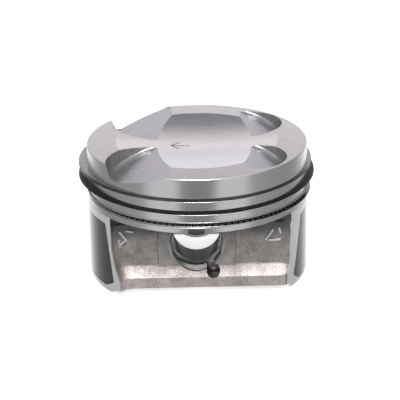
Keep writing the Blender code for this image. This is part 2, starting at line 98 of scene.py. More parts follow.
# Where the walls' trimmed bottom edge ends, as (X at the top of the slope, X at the skirts' feet)
WALL_END_LEFT = (-30.2 * MM, -33.2 * MM)
WALL_END_RIGHT = (33.3 * MM, 34.3 * MM)
WALL_BLEND_RUN = 6.0 * MM
WALL_BLEND_PULL = 1.5 * MM
WALL_BLEND_STEPS = 16
# Where the skirts end, as (depth in mm, half angle in degrees from the X axis)
INTAKE_EDGE = ((20.5, 38.8), (33.0, 39.4), (40.0, 42.0), (44.4, 45.0), (48.5, 45.6))
EXHAUST_EDGE = ((20.5, 33.2), (33.0, 34.6), (39.6, 35.5), (43.7, 36.0), (48.5, 36.4))
CROWN_UNDERSIDE = 8.4 * MM
BELT_INSIDE_RADIUS = 32.6 * MM
UNDERCUT_TOP = 13.5 * MM
UNDERCUT_NEAR_Y = 24.2 * MM
UNDERCUT_STEPS = 40
UNDERCUT_ROWS = (
    (0.93, UNDERCUT_TOP),
    (0.985, UNDERCUT_TOP + 0.8 * MM),
    (1.0, UNDERCUT_TOP + 2.5 * MM),
    (1.0, BELT_DEPTH + 1 * MM),
)
CAVITY_FLAT_RADIUS = 20 * MM
CAVITY_DOME_DROP = 9 * MM
CAVITY_DOME_STEPS = 14
CAVITY_EASE_DEPTH = BELT_DEPTH - 1.5 * MM
CAVITY_EASE_RUN = 6 * MM
CAVITY_EASE_STEPS = 8
PIN_X = -0.65 * MM
PIN_DEPTH = 32.4 * MM
PIN_RADIUS = 9.0 * MM
BORE_CHAMFER = 0.35 * MM
BOSS_INNER_Y = 7.1 * MM
BOSS_INNER_RADIUS = 10.35 * MM
BOSS_OUTER_Y = 25.0 * MM
BOSS_OUTER_RADIUS = 17.2 * MM
# The pillar from each boss to the crown: half widths, how they flare upwards, and its slant
PILLAR_TOP = CROWN_UNDERSIDE - 3 * MM
PILLAR_RUN = 16 * MM
PILLAR_HALF_WIDTH = 11.6
PILLAR_FLARE = 5.2
PILLAR_REACH = 1.5
PILLAR_FOOT_HALF_WIDTH = 10.1 * MM
PILLAR_SPREAD = 1.5 * MM
PILLAR_STEPS = 8
BOSS_PAD_HALF_WIDTH = 14.0 * MM
BOSS_PAD_HEIGHT = 0.7 * MM
BOSS_PAD_RAMP = 0.3 * MM
BOSS_PAD_STEPS = 6
CIRCLIP_NEAR_Y = 18.3 * MM
CIRCLIP_WIDTH = 1.3 * MM
CIRCLIP_RADIUS = 10.3 * MM
SHOULDER_RADIUS = 9.7 * MM
SHOULDER_WIDTH = 0.05 * MM
RELIEF_RADIUS = 9.9 * MM
NOTCH_RADIUS = 2.5 * MM
NOTCH_REACH = 11.7 * MM
NOTCH_ANGLE = math.radians(31)
NOTCH_ROUNDING = 0.7 * NOTCH_RADIUS
# Valve pockets: the axis at X and Y, radius, slope of the floor, X where the floor meets the rim's level
INTAKE_POCKET = (-14.0 * MM, 22.0 * MM, 18.1 * MM, 0.27, -9.3 * MM)
EXHAUST_POCKET = (18.5 * MM, 18.2 * MM, 13.5 * MM, -0.29, 16.8 * MM)
POCKET_FILLET = 1.4 * MM
POCKET_CUTTER_LENGTH = 30 * MM
DRAIN_RADIUS = 1.1 * MM
DRAIN_ANGLES = (155, 180, 205, -25, 0, 25)
LAND_DRAIN_RADIUS = 0.6 * MM
LAND_DRAIN_DEPTH = 19.3 * MM
LAND_DRAIN_ANGLES = (164, 196)
DRAIN_NEAR_RADIUS = BELT_INSIDE_RADIUS - 3 * MM
LAND_NOTCH_WIDTH = 5.8 * MM
LAND_NOTCH_DEPTH = 19.0 * MM
LAND_NOTCH_NEAR_Y = 31.0 * MM
LAND_NOTCH_OVERLAP = 1 * MM

# Rings: radial thickness, free gap, how far the front sits out of the land, shift along X, turn
TOP_RING = (3.2 * MM, 13.0 * MM, -0.4 * MM, -0.8 * MM, 0.0)
SECOND_RING = (3.3 * MM, 16.0 * MM, -0.4 * MM, -0.3 * MM, 0.0)
UPPER_RAIL = (2.3 * MM, 4.0 * MM, -0.1 * MM, 0.4 * MM, math.radians(28))
LOWER_RAIL = (2.3 * MM, 4.0 * MM, -0.1 * MM, 0.4 * MM, math.radians(-28))
EXPANDER_RADII = (37.6 * MM, 40.35 * MM)
EXPANDER_WAVES = 108
EXPANDER_SHEET = 0.2 * MM
# One fold of the expander, as (share of the fold, height from -1 to 1)
EXPANDER_FOLD = (
    (0.0, 1), (0.08, 1), (0.36, 1), (0.43, 0.75), (0.5, -0.75),
    (0.57, -1), (0.86, -1), (0.93, -0.75), (0.99, 0.75),
)

# Coatings: (half angle in degrees, depth in mm) down one edge
COATING_THICKNESS = 0.03 * MM
INTAKE_COATING = ((34.7, 23.4), (37.6, 34.0), (40.6, 45.8), (33.7, 48.4))
EXHAUST_COATING = ((23.3, 23.9), (27.1, 35.0), (31.6, 46.3), (25.4, 49.0))
COATING_CORNER = 0.8
COATING_COLUMNS = 64
COATING_LINES = 60
COATING_CROWDING = 0.9

# Painted light and shade on the cast walls by height, from their bottom edge (0) to the ring belt (1):
# brighter low down, and darker under the ring belt where its shadow falls
WALL_PAINTED_LIGHT_AND_SHADE = (
    (0.00, (1.50, 1.40, 1.40)),
    (0.17, (1.50, 1.40, 1.40)),
    (0.30, (1.08, 1.05, 1.05)),
    (0.50, (0.96, 0.96, 0.96)),
    (0.64, (0.88, 0.88, 0.88)),
    (0.76, (0.46, 0.46, 0.47)),
    (0.90, (0.24, 0.24, 0.25)),
)
# Painted shade inside the hollow, by the same height: darker up towards the crown
INSIDE_PAINTED_SHADE = ((0.0, (1.1, 1.1, 1.1)), (1.0, (0.7, 0.7, 0.7)))

# Marks: strokes as (start, end) in plan for the dish's arrow, and along X and depth for the cast ones
ARROW = (((-9.6, -1.4), (-3.0, -1.4)), ((-9.6, -1.4), (-6.6, 1.9)), ((-9.6, -1.4), (-6.6, -4.7)))
STROKE_DEPTH = 1 * MM
ARROW_WIDTH = 0.5 * MM
ARROW_DEPTH = 0.10 * MM
ARROW_REACH = 12.0 * MM
CAST_MARKS = (
    ((-28.6, 27.2), (-26.4, 30.0)),
    ((-26.4, 30.0), (-28.8, 32.2)),
    ((-26.2, 26.6), (-24.2, 26.9)),
    ((27.4, 27.2), (24.8, 31.0)),
    ((25.8, 31.4), (30.0, 31.2)),
    ((29.6, 26.6), (30.2, 28.4)),
)
CAST_MARK_WIDTH = 0.8 * MM
CAST_MARK_BEVEL = 0.25 * MM
CAST_MARK_HEIGHT = 0.55 * MM
CAST_MARK_REACH = 0.75 * CAST_MARK_WIDTH / MM

# The camera: pitch, yaw and roll in degrees, its place in metres and its lens in mm
CAMERA_TURN = (22.0587, 0.0877, -0.8818)
CAMERA_PLACE = (0, -0.57807, 0.21180)
CAMERA_LENS = 148.48

# The studio's dome. A turn runs from the camera's side (0) round to behind the object (1), and a climb
# from the horizon (0) to overhead (1). The ramps hold (turn or climb, radiance, tint).
DOME_STRENGTH = 3.0
PLAIN = (1, 1, 1)
LAVENDER = (0.985, 0.96, 1.03)
ROSE = (1.03, 0.98, 0.98)
SLATE = (0.965, 0.975, 1.05)
BELOW_RAMP = (
    (0.000, 0.22, PLAIN),
    (0.085, 0.24, PLAIN),
    (0.125, 0.66, PLAIN),
    (0.280, 0.66, PLAIN),
    (0.330, 0.36, PLAIN),
    (0.600, 0.28, PLAIN),
    (0.690, 0.36, PLAIN),
    (0.760, 0.60, PLAIN),
    (0.820, 0.95, PLAIN),
    (0.900, 1.25, PLAIN),
)
OVERHEAD = ((0.76, 1.00, PLAIN), (0.84, 0.50, PLAIN), (1.00, 0.42, PLAIN))
BEHIND_RAMP = (
    (0.000, 0.70, LAVENDER),
    (0.073, 0.75, LAVENDER),
    (0.100, 0.91, LAVENDER),
    (0.133, 0.86, LAVENDER),
    (0.178, 0.80, LAVENDER),
    (0.222, 0.88, ROSE),
    (0.244, 0.74, ROSE),
    (0.267, 0.64, ROSE),
    (0.289, 0.53, ROSE),
    (0.308, 0.38, SLATE),
    (0.322, 0.30, SLATE),
    (0.360, 0.26, SLATE),
    (0.550, 0.35, SLATE),
    (0.720, 1.00, PLAIN),
) + OVERHEAD
AROUND_RAMP = (
    (0.00, 0.35, PLAIN),
    (0.30, 0.28, PLAIN),
    (0.50, 0.40, PLAIN),
    (0.68, 1.00, PLAIN),
) + OVERHEAD
# Behind the object, the pale part dims away from the middle: (turn, share of its colour)
BEHIND_FALL = ((0.72, (0.6,) * 3), (0.92, (0.74,) * 3), (0.958, PLAIN))
BEHIND_START = 0.72
BEHIND_STEEPNESS = 8.0
HORIZON = 0.02
HORIZON_STEEPNESS = 14.0

# The key light: a round soft box above and in front, as half angles in degrees where it is full and gone
KEY_DIRECTION = (0, -0.58, 0.81)
KEY_DEGREES = (12, 17)
KEY_RADIANCE = 8.0
TOP_LIGHT_PLACE = (0.0, -0.1, 0.9)
TOP_LIGHT_AIM = (0, 0, -0.02)
TOP_LIGHT_SIZE = 0.7
TOP_LIGHT_POWER = 5.0
FLOOR_REACH = 6.0
FLOOR_GAP = 0.02 * MM
FLOOR_TONE = 0.85
FLOOR_GLOW = 0.7

TURN_STEPS = 240
RING_STEPS = 300
SHARP_DEGREES = 7.0
LARGE = 70 * MM
BELOW_DEPTH = SKIRT_DEPTH + 5 * MM
# How far past the skirt's edges the space outside a wall runs, as a scale of their place
OUTWARD_SCALE = 1.4
# What the choice of finish allows for rounding, for edges and for a gently curved crown
SLIGHT = 0.05 * MM
EDGE = 0.4 * MM
SKIRT_SKIN = 0.3 * MM
RELIEF_END = WALL_OUT + 1.2 * MM
CROWN_LEAN = math.cos(math.radians(7.6))
POCKET_FLOOR_LEAN = 0.94
LEVEL_LEAN = 0.999


def add_object(name, data):
    thing = bpy.data.objects.new(name, data)
    bpy.context.scene.collection.objects.link(thing)
    return thing


# ---------------------------------------------------------------- camera and light

def add_camera():
    pitch, yaw, roll = (math.radians(a) for a in CAMERA_TURN)
    forward = Vector((math.sin(yaw) * math.cos(pitch), math.cos(yaw) * math.cos(pitch), -math.sin(pitch)))
    side = forward.cross(Vector((0, 0, 1))).normalized()
    up = side.cross(forward)
    turned_side = math.cos(roll) * side + math.sin(roll) * up
    turned_up = -math.sin(roll) * side + math.cos(roll) * up
    data = bpy.data.cameras.new("camera")
    data.sensor_width = 36
    data.lens = CAMERA_LENS
    data.clip_start = 0.01
    camera = add_object("camera", data)
    place = Matrix((turned_side, turned_up, -forward)).transposed().to_4x4()
    place.translation = Vector(CAMERA_PLACE)
    camera.matrix_world = place
    bpy.context.scene.camera = camera


def fill_ramp(node, stops):
    """Gives a colour ramp its stops, as (place, colour)."""
    elements = node.color_ramp.elements
    while len(elements) < len(stops):
        elements.new(0.5)
    for element, (place, color) in zip(elements, stops):
        element.position = place
        element.color = (*color, 1)


def add_world():
    """A studio as one dome: soft boxes either side of the camera, a dark gap between them, pale behind."""
    world = bpy.data.worlds.new("studio")
    bpy.context.scene.world = world
    world.use_nodes = True
    nodes, links = world.node_tree.nodes, world.node_tree.links
    where = nodes.new("ShaderNodeTexCoord")
    parts = nodes.new("ShaderNodeSeparateXYZ")
    links.new(where.outputs["Generated"], parts.inputs[0])

    def feed(node, *inputs):
        """Sets or links a node's inputs in order, and returns its output."""
        for socket, value in zip(node.inputs, inputs):
            if isinstance(value, (int, float)):
                socket.default_value = value
            else:
                links.new(value, socket)
        return node.outputs[0]

    def math_node(operation, *inputs, clamp=False):
        node = nodes.new("ShaderNodeMath")
        node.operation = operation
        node.use_clamp = clamp
        return feed(node, *inputs)

    def blended(kind, share, first, second):
        node = nodes.new("ShaderNodeMixRGB")
        node.blend_type = kind
        return feed(node, share, first, second)

    def ramp(value, stops):
        node = nodes.new("ShaderNodeValToRGB")
        fill_ramp(node, stops)
        return feed(node, value)

    def lit(rows):
        """A dome ramp's rows as colour stops."""
        return [(place, tuple(light * t / DOME_STRENGTH for t in tint)) for place, light, tint in rows]

    azimuth = math_node("ARCTAN2", parts.outputs["X"], math_node("MULTIPLY", parts.outputs["Y"], -1.0))
    turn = math_node("DIVIDE", math_node("ABSOLUTE", azimuth), math.pi)
    climb = math_node("DIVIDE", math_node("ARCSINE", parts.outputs["Z"]), math.pi / 2)
    past = math_node("SUBTRACT", turn, BEHIND_START)
    behind = math_node("MULTIPLY", past, BEHIND_STEEPNESS, clamp=True)
    risen = math_node("ADD", climb, -HORIZON)
    above = math_node("MULTIPLY", risen, HORIZON_STEEPNESS, clamp=True)
    pale = blended("MULTIPLY", 1.0, ramp(climb, lit(BEHIND_RAMP)), ramp(turn, BEHIND_FALL))
    dome = blended("MIX", behind, ramp(climb, lit(AROUND_RAMP)), pale)
    whole = blended("MIX", above, ramp(turn, lit(BELOW_RAMP)), dome)
    lamp = nodes.new("ShaderNodeVectorMath")
    lamp.operation = "DOT_PRODUCT"
    lamp.inputs[1].default_value = Vector(KEY_DIRECTION).normalized()
    links.new(where.outputs["Generated"], lamp.inputs[0])
    glow = nodes.new("ShaderNodeMapRange")
    links.new(lamp.outputs["Value"], glow.inputs["Value"])
    glow.inputs["From Min"].default_value = math.cos(math.radians(KEY_DEGREES[1]))
    glow.inputs["From Max"].default_value = math.cos(math.radians(KEY_DEGREES[0]))
    glow.inputs["To Max"].default_value = KEY_RADIANCE / DOME_STRENGTH
    background = nodes["Background"]
    links.new(blended("ADD", 1.0, whole, glow.outputs["Result"]), background.inputs["Color"])
    background.inputs["Strength"].default_value = DOME_STRENGTH


def add_top_light():
    """A soft box overhead, which lights rough surfaces and isn't mirrored in the crown."""
    data = bpy.data.lights.new("top_softbox", "AREA")
    data.shape = "RECTANGLE"
    data.size = data.size_y = TOP_LIGHT_SIZE
    data.energy = TOP_LIGHT_POWER
    lamp = add_object("top_softbox", data)
    lamp.location = TOP_LIGHT_PLACE
    aim = Vector(TOP_LIGHT_AIM) - Vector(TOP_LIGHT_PLACE)
    lamp.rotation_euler = aim.to_track_quat("-Z", "Y").to_euler()
    lamp.visible_glossy = False


def add_floor():
    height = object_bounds()[0][2] - FLOOR_GAP
    reach = FLOOR_REACH
    corners = ((-reach, -reach), (reach, -reach), (reach, reach), (-reach, reach))
    mesh = bpy.data.meshes.new("floor")
    mesh.from_pydata([(x, y, height) for x, y in corners], [], [(0, 1, 2, 3)])
    material = bpy.data.materials.new("floor")
    material.use_nodes = True
    shader = material.node_tree.nodes["Principled BSDF"]
    shader.inputs["Base Color"].default_value = (FLOOR_TONE, FLOOR_TONE, FLOOR_TONE, 1)
    shader.inputs["Roughness"].default_value = 0.9
    shader.inputs["Specular IOR Level"].default_value = 0.0
    shader.inputs["Emission Color"].default_value = (1, 1, 1, 1)
    shader.inputs["Emission Strength"].default_value = FLOOR_GLOW
    mesh.materials.append(material)
    floor = add_object("floor", mesh)
    floor.visible_glossy = False


# ---------------------------------------------------------------- materials

class Finish:
    """A Principled material and short ways to wire its nodes. Coordinates are object space, in mm."""

    def __init__(self, name, color, roughness, metallic=1.0):
        self.material = bpy.data.materials.new(name)
        self.material.use_nodes = True
        self.tree = self.material.node_tree
        self.shader = self.tree.nodes["Principled BSDF"]
        self.set("Base Color", (*color, 1))
        self.set("Roughness", roughness)
        self.set("Metallic", metallic)
        self.color = color

    def set(self, socket, value):
        self.shader.inputs[socket].default_value = value

    def node(self, kind, values=None, **settings):
        """A new node with its settings, and with values on its sockets."""
        made = self.tree.nodes.new(kind)
        for key, value in settings.items():
            setattr(made, key, value)
        for key, value in (values or {}).items():
            made.inputs[key].default_value = value
        return made

    def link(self, out, into):
        self.tree.links.new(out, into)

    def place(self, scale=(1000, 1000, 1000)):
        """Object coordinates times scale: (1000, 1000, 1000) is millimetres."""
        where = self.node("ShaderNodeTexCoord")
        mapping = self.node("ShaderNodeMapping", {"Scale": scale})
        self.link(where.outputs["Object"], mapping.inputs["Vector"])
        return mapping.outputs["Vector"]

    def noise(self, vector, scale, detail=2.0, rough=0.5):
        made = self.node("ShaderNodeTexNoise", {"Scale": scale, "Detail": detail, "Roughness": rough})
        self.link(vector, made.inputs["Vector"])
        return made.outputs["Fac"]

    def spread(self, value, low=0.3, high=0.7, to_low=0, to_high=1):
        """Stretches a value's range. Most of a noise lies between 0.3 and 0.7."""
        values = {"From Min": low, "From Max": high, "To Min": to_low, "To Max": to_high}
        made = self.node("ShaderNodeMapRange", values)
        self.link(value, made.inputs["Value"])
        return made.outputs["Result"]

    def tint(self, value, dark, light):
        """The base colour runs from dark to light times the finish's own, with value."""
        ends = {"A": (*(dark * c for c in self.color), 1)}
        ends["B"] = (*(min(light * c, 1) for c in self.color), 1)
        made = self.node("ShaderNodeMix", ends, data_type="RGBA")
        self.link(value, made.inputs["Factor"])
        self.link(made.outputs["Result"], self.shader.inputs["Base Color"])

    def bump(self, value, height, strength=1.0, normal=None):
        made = self.node("ShaderNodeBump", {"Distance": height, "Strength": strength})
        self.link(value, made.inputs["Height"])
        if normal is not None:
            self.link(normal, made.inputs["Normal"])
        return made.outputs["Normal"]

    def use_normal(self, normal):
        self.link(normal, self.shader.inputs["Normal"])

    def brush(self, amount):
        """Marks that run round the piston axis spread reflections across themselves."""
        tangent = self.node("ShaderNodeTangent", direction_type="RADIAL", axis="Z")
        self.link(tangent.outputs[0], self.shader.inputs["Tangent"])
        self.set("Anisotropic", amount)
        self.set("Anisotropic Rotation", 0.25)

    def radius(self):
        """Distance from the piston axis, in mm, as a vector along X."""
        parts = self.node("ShaderNodeSeparateXYZ")
        self.link(self.place(), parts.inputs[0])
        flat = self.node("ShaderNodeCombineXYZ")
        self.link(parts.outputs["X"], flat.inputs["X"])
        self.link(parts.outputs["Y"], flat.inputs["Y"])
        length = self.node("ShaderNodeVectorMath", operation="LENGTH")
        self.link(flat.outputs[0], length.inputs[0])
        out = self.node("ShaderNodeCombineXYZ")
        self.link(length.outputs["Value"], out.inputs["X"])
        return out.outputs[0]


def turned_aluminium(name="turned_aluminium", roughness=0.26, marks=0.004 * MM, metallic=1.0):
    """Lathe marks as rings round the axis: fine lines in Z, with faint broad streaks."""
    finish = Finish(name, (0.78, 0.775, 0.785), roughness, metallic)
    fine = finish.noise(finish.place((30, 30, 9000)), scale=1.0, rough=0.7)
    finish.tint(finish.spread(fine), dark=0.9, light=1.05)
    finish.use_normal(finish.bump(fine, marks))
    finish.brush(0.7)
    return finish.material


def milled_aluminium(name="milled_aluminium", roughness=0.10, color=(0.80, 0.79, 0.80)):
    """The crown: a satin face with faint rings from the facing tool and soft clouding."""
    finish = Finish(name, color, roughness)
    rings = finish.noise(finish.radius(), scale=7.0, rough=0.6)
    cloud = finish.noise(finish.place(), scale=0.16, detail=3.0)
    finish.tint(finish.spread(cloud), dark=0.95, light=1.04)
    grain = finish.noise(finish.place(), scale=6.0, detail=3.0)
    finish.use_normal(finish.bump(grain, 0.003 * MM, 1.0, finish.bump(rings, 0.002 * MM)))
    rough = finish.spread(grain, to_low=roughness * 0.8, to_high=roughness * 1.2)
    finish.link(rough, finish.shader.inputs["Roughness"])
    return finish.material


def pocket_aluminium(name="pocket_aluminium", color=(0.75, 0.74, 0.77), grain_height=0.04 * MM):
    """The valve pockets: end milled, so a little rougher, with curved cutter marks."""
    finish = Finish(name, color, 0.28)
    values = {"Scale": 0.5, "Distortion": 1.5, "Detail": 2.0}
    waves = finish.node("ShaderNodeTexWave", values, wave_type="RINGS", rings_direction="Z")
    finish.link(finish.place(), waves.inputs["Vector"])
    grain = finish.noise(finish.place(), scale=1.6, detail=4.0, rough=0.65)
    streak = finish.noise(finish.place((900, 900, 160)), scale=1.4, detail=3.0, rough=0.6)
    finish.tint(finish.spread(streak), dark=0.74, light=1.10)
    finish.use_normal(finish.bump(grain, grain_height, 1.0, finish.bump(waves.outputs["Fac"], 0.004 * MM)))
    return finish.material


def cast_aluminium(name, color, stops):
    """As cast: a granular skin from the mould, blotched brown-grey, with painted light and shade by height
    through stops.
    """
    finish = Finish(name, color, 0.38, 0.92)
    grain = finish.noise(finish.place(), scale=2.3, detail=4.0, rough=0.62)
    specks = finish.noise(finish.place(), scale=3.2, detail=1.0)
    blotch = finish.noise(finish.place(), scale=0.22, detail=3.0)
    both = finish.node("ShaderNodeMath", {1: 0.6}, operation="MULTIPLY_ADD")
    finish.link(blotch, both.inputs[0])
    finish.link(grain, both.inputs[2])
    finish.tint(finish.spread(both.outputs[0], 0.55, 1.05), dark=0.50, light=1.40)
    parts = finish.node("ShaderNodeSeparateXYZ")
    finish.link(finish.place(), parts.inputs[0])
    ramp = finish.node("ShaderNodeValToRGB")
    fill_ramp(ramp, stops)
    low, high = level(WALL_DEPTH) / MM, level(BELT_DEPTH) / MM
    finish.link(finish.spread(parts.outputs["Z"], low, high), ramp.inputs[0])
    # The height ramp multiplies the base colour: painted light low down and painted shade higher up
    painted_light_and_shade = finish.node("ShaderNodeMix", {"Factor": 1.0}, data_type="RGBA", blend_type="MULTIPLY")
    base = finish.shader.inputs["Base Color"]
    finish.link(base.links[0].from_socket, painted_light_and_shade.inputs["A"])
    finish.link(ramp.outputs[0], painted_light_and_shade.inputs["B"])
    finish.link(painted_light_and_shade.outputs["Result"], base)
    finish.use_normal(finish.bump(grain, 0.20 * MM, 1.0, finish.bump(specks, 0.05 * MM, 0.8)))
    return finish.material


def bored_aluminium_painted_light_and_shade(name, color):
    """The pin bore: finely turned about its own axis. Its colour is given per copy: painted shade in the
    bore and notch, painted light on the reliefs.
    """
    finish = Finish(name, color, 0.25)
    fine = finish.noise(finish.place((20, 6000, 20)), scale=1.0, rough=0.7)
    finish.use_normal(finish.bump(fine, 0.004 * MM))
    finish.tint(finish.spread(fine), dark=0.92, light=1.04)
    return finish.material


def graphite_coating():
    """Screen printed graphite in resin: satin black with a soft sheen."""
    finish = Finish("graphite_coating", (0.008, 0.0078, 0.009), 0.24, 0.0)
    finish.set("IOR", 1.8)
    finish.set("Coat Weight", 0.8)
    finish.set("Coat Roughness", 0.15)
    grain = finish.noise(finish.place(), scale=5.0, detail=3.0, rough=0.6)
    lines = finish.noise(finish.place((10, 10, 3000)), scale=1.0, rough=0.6)
    finish.tint(finish.spread(grain), dark=0.75, light=1.3)
    finish.use_normal(finish.bump(grain, 0.012 * MM, 0.7, finish.bump(lines, 0.004 * MM)))
    return finish.material


def ring_steel(name, color, roughness, marks=0.003 * MM):
    finish = Finish(name, color, roughness)
    fine = finish.noise(finish.place((60, 60, 7000)), scale=1.0, rough=0.6)
    patch = finish.noise(finish.place(), scale=0.35)
    finish.tint(finish.spread(patch), dark=0.85, light=1.12)
    finish.use_normal(finish.bump(fine, marks))
    return finish.material


# ---------------------------------------------------------------- shapes

def level(depth):
    """The height of a depth below the crown's flat rim."""
    return DISH_DEPTH - depth


def from_bmesh(name, bm):
    bmesh.ops.recalc_face_normals(bm, faces=bm.faces)
    mesh = bpy.data.meshes.new(name)
    bm.to_mesh(mesh)
    bm.free()
    return add_object(name, mesh)


def turned(name, profile, steps=TURN_STEPS):
    """A profile of (radius, height) points, top to bottom on its outer side, turned about Z."""
    mesh = bpy.data.meshes.new(name)
    points = [(radius, 0.0, height) for radius, height in profile]
    mesh.from_pydata(points, [(i, i + 1) for i in range(len(points) - 1)], [])
    thing = add_object(name, mesh)
    screw = thing.modifiers.new("Screw", "SCREW")
    screw.steps = steps
    screw.render_steps = steps
    screw.use_merge_vertices = True
    screw.merge_threshold = 0.00001
    return thing


def loft(name, sections):
    """A closed solid through loops of equal length, capped at both ends."""
    bm = bmesh.new()
    loops = [[bm.verts.new(point) for point in section] for section in sections]
    for upper, lower in zip(loops, loops[1:]):
        for i, corner in enumerate(upper):
            bm.faces.new((upper[i - 1], corner, lower[i], lower[i - 1]))
    bm.faces.new(loops[0])
    bm.faces.new(reversed(loops[-1]))
    return from_bmesh(name, bm)


def cylinder(name, radius, length, vertices=96, end_radius=None):
    bm = bmesh.new()
    other = radius if end_radius is None else end_radius
    bmesh.ops.create_cone(
        bm, cap_ends=True, segments=vertices, radius1=radius, radius2=other, depth=length
    )
    return from_bmesh(name, bm)


def box(name, low, high):
    bm = bmesh.new()
    bmesh.ops.create_cube(bm, size=1.0)
    low, high = Vector(low), Vector(high)
    for vertex in bm.verts:
        for axis in range(3):
            vertex.co[axis] = (low[axis] + high[axis]) / 2 + vertex.co[axis] * (high - low)[axis]
    return from_bmesh(name, bm)


cutters = []


def boolean(target, other, operation="DIFFERENCE"):
    modifier = target.modifiers.new(f"{operation.title()} {other.name}", "BOOLEAN")
    modifier.operation = operation
    modifier.object = other
    modifier.solver = "EXACT"
    cutters.append(other)


def settle(thing):
    """Applies every modifier, so that the object holds its final mesh."""
    graph = bpy.context.evaluated_depsgraph_get()
    mesh = bpy.data.meshes.new_from_object(thing.evaluated_get(graph))
    thing.modifiers.clear()
    thing.data = mesh


def soften(thing, degrees=SHARP_DEGREES):
    """Smooth shading with hard edges kept, and flat faces left flat beside their fillets."""
    thing.data.shade_smooth()
    thing.data.set_sharp_from_angle(angle=math.radians(degrees))
    weighted = thing.modifiers.new("Weighted Normal", "WEIGHTED_NORMAL")
    weighted.keep_sharp = True
    weighted.weight = 50


def body_profile():
    """The outer shape from the dish's centre to the skirt's bottom, with the three grooves."""
    sphere = (DISH_RADIUS**2 - DISH_FLAT_RADIUS**2) / (2 * DISH_DEPTH)
    points = [(0.0, level(DISH_DEPTH))]
    for i in range(DISH_STEPS + 1):
        radius = DISH_FLAT_RADIUS + (DISH_RADIUS - DISH_FLAT_RADIUS) * i / DISH_STEPS
        rise = (radius**2 - DISH_FLAT_RADIUS**2) / (2 * sphere)
        points.append((radius, level(DISH_DEPTH) + rise))
    points.append((LAND_RADIUS - RIM_CHAMFER, level(RIM_FALL)))
    points.append((LAND_RADIUS, level(RIM_FALL + RIM_CHAMFER)))
    for depth, height, root in GROOVES:
        bottom = depth + height
        points += [
            (LAND_RADIUS, level(depth - GROOVE_CHAMFER)),
            (LAND_RADIUS - GROOVE_CHAMFER, level(depth)),
            (root + GROOVE_FILLET, level(depth)),
            (root, level(depth + GROOVE_FILLET)),
            (root, level(bottom - GROOVE_FILLET)),
            (root + GROOVE_FILLET, level(bottom)),
            (LAND_RADIUS - GROOVE_CHAMFER, level(bottom)),
            (LAND_RADIUS, level(bottom + GROOVE_CHAMFER)),
        ]
    return points + [
        (LAND_RADIUS, level(BELT_DEPTH)),
        (SKIRT_RADIUS, level(BELT_DEPTH + SKIRT_STEP)),
        (SKIRT_RADIUS, level(SKIRT_DEPTH - SKIRT_CHAMFER)),
        (SKIRT_RADIUS - SKIRT_CHAMFER, level(SKIRT_DEPTH)),
        (0.0, level(SKIRT_DEPTH)),
    ]


def wall_distance(x, extra=0.0):
    return WALL_OUT + extra + WALL_TAPER * x


def edge_point(edge, depth, side):
    """A point of a skirt's outer edge in plan, at one depth. Side is the sign of its X."""
    depths, degrees = zip(*edge)
    angle = math.radians(float(np.interp(depth / MM, depths, degrees)))
    return side * SKIRT_RADIUS * math.cos(angle), SKIRT_RADIUS * math.sin(angle)


def wall_blend(edge, side, extra):
    """The wall's inner corner beside one skirt: its flat end, then a curve out to the skirt's edge."""
    flat_x = edge[0] - side * WALL_BLEND_RUN
    flat = (flat_x, wall_distance(flat_x, extra))
    corner = (edge[0] - side * WALL_BLEND_PULL, flat[1])
    points = [flat]
    for i in range(1, WALL_BLEND_STEPS):
        t = i / WALL_BLEND_STEPS
        points.append(
            tuple(
                (1 - t) ** 2 * a + 2 * t * (1 - t) * b + t**2 * c
                for a, b, c in zip(flat, corner, edge)
            )
        )
    outer_x = edge[0] * OUTWARD_SCALE
    return points + [edge, (outer_x, edge[1] * OUTWARD_SCALE), (outer_x, LARGE)]


def recess_outline(depth, extra, proud):
    """Plan of the space outside one wall at one depth: the skirt edges, the wall and the boss pad."""
    points = wall_blend(edge_point(INTAKE_EDGE, depth, -1), -1, extra)[::-1]
    for end in (-1, 1):
        for i in range(BOSS_PAD_STEPS + 1):
            t = i / BOSS_PAD_STEPS if end > 0 else 1 - i / BOSS_PAD_STEPS
            x = PIN_X + end * (BOSS_PAD_HALF_WIDTH + BOSS_PAD_RAMP * t)
            rise = 0.5 + 0.5 * math.cos(math.pi * t)
            points.append((x, wall_distance(x, max(extra, proud * rise))))
    return points + wall_blend(edge_point(EXHAUST_EDGE, depth, 1), 1, extra)


def lip_rows():
    """(depth, reach) down the lip."""
    for t, reach in LIP_CURVE:
        yield LIP_TOP_DEPTH + (LIP_DEPTH - LIP_TOP_DEPTH) * t, LIP_REACH * reach


def recess_rows():
    """(depth, extra distance, pad height) down the wall, with its fillet, ledge and lip."""
    for i in range(FILLET_STEPS + 1):
        angle = math.pi / 2 * i / FILLET_STEPS
        depth = BELT_DEPTH + BELT_FILLET * (1 - math.cos(angle))
        yield depth, BELT_FILLET * (1 - math.sin(angle)) - LEDGE_REACH, 0.0
    yield LEDGE_DEPTHS[0], -LEDGE_REACH, 0.0
    yield LEDGE_DEPTHS[1], 0.0, BOSS_PAD_HEIGHT
    for depth in WALL_ROW_DEPTHS:
        yield depth, 0.0, BOSS_PAD_HEIGHT
    for depth, reach in lip_rows():
        yield depth, reach, BOSS_PAD_HEIGHT
    yield WALL_DEPTH, LIP_REACH, 0.0
    yield BELOW_DEPTH, LIP_REACH, 0.0


def side_recess(name, side):
    """The space outside one wall, below the ring belt. Side is the sign of its Y."""
    sections = [
        [(x, side * y, level(depth)) for x, y in recess_outline(depth, extra, proud)]
        for depth, extra, proud in recess_rows()
    ]
    return loft(name, sections)


def belt_undercut(name, side):
    """The pocket behind the ring belt, between it and one wall, open downwards."""
    near = UNDERCUT_NEAR_Y
    start = math.asin(near / BELT_INSIDE_RADIUS)
    outline = []
    for i in range(UNDERCUT_STEPS + 1):
        angle = start + (math.pi - 2 * start) * i / UNDERCUT_STEPS
        outline.append((BELT_INSIDE_RADIUS * math.cos(angle), BELT_INSIDE_RADIUS * math.sin(angle)))
    sections = [
        [(x * share, side * max(y * share, near), level(depth)) for x, y in outline]
        for share, depth in UNDERCUT_ROWS
    ]
    return loft(name, sections)


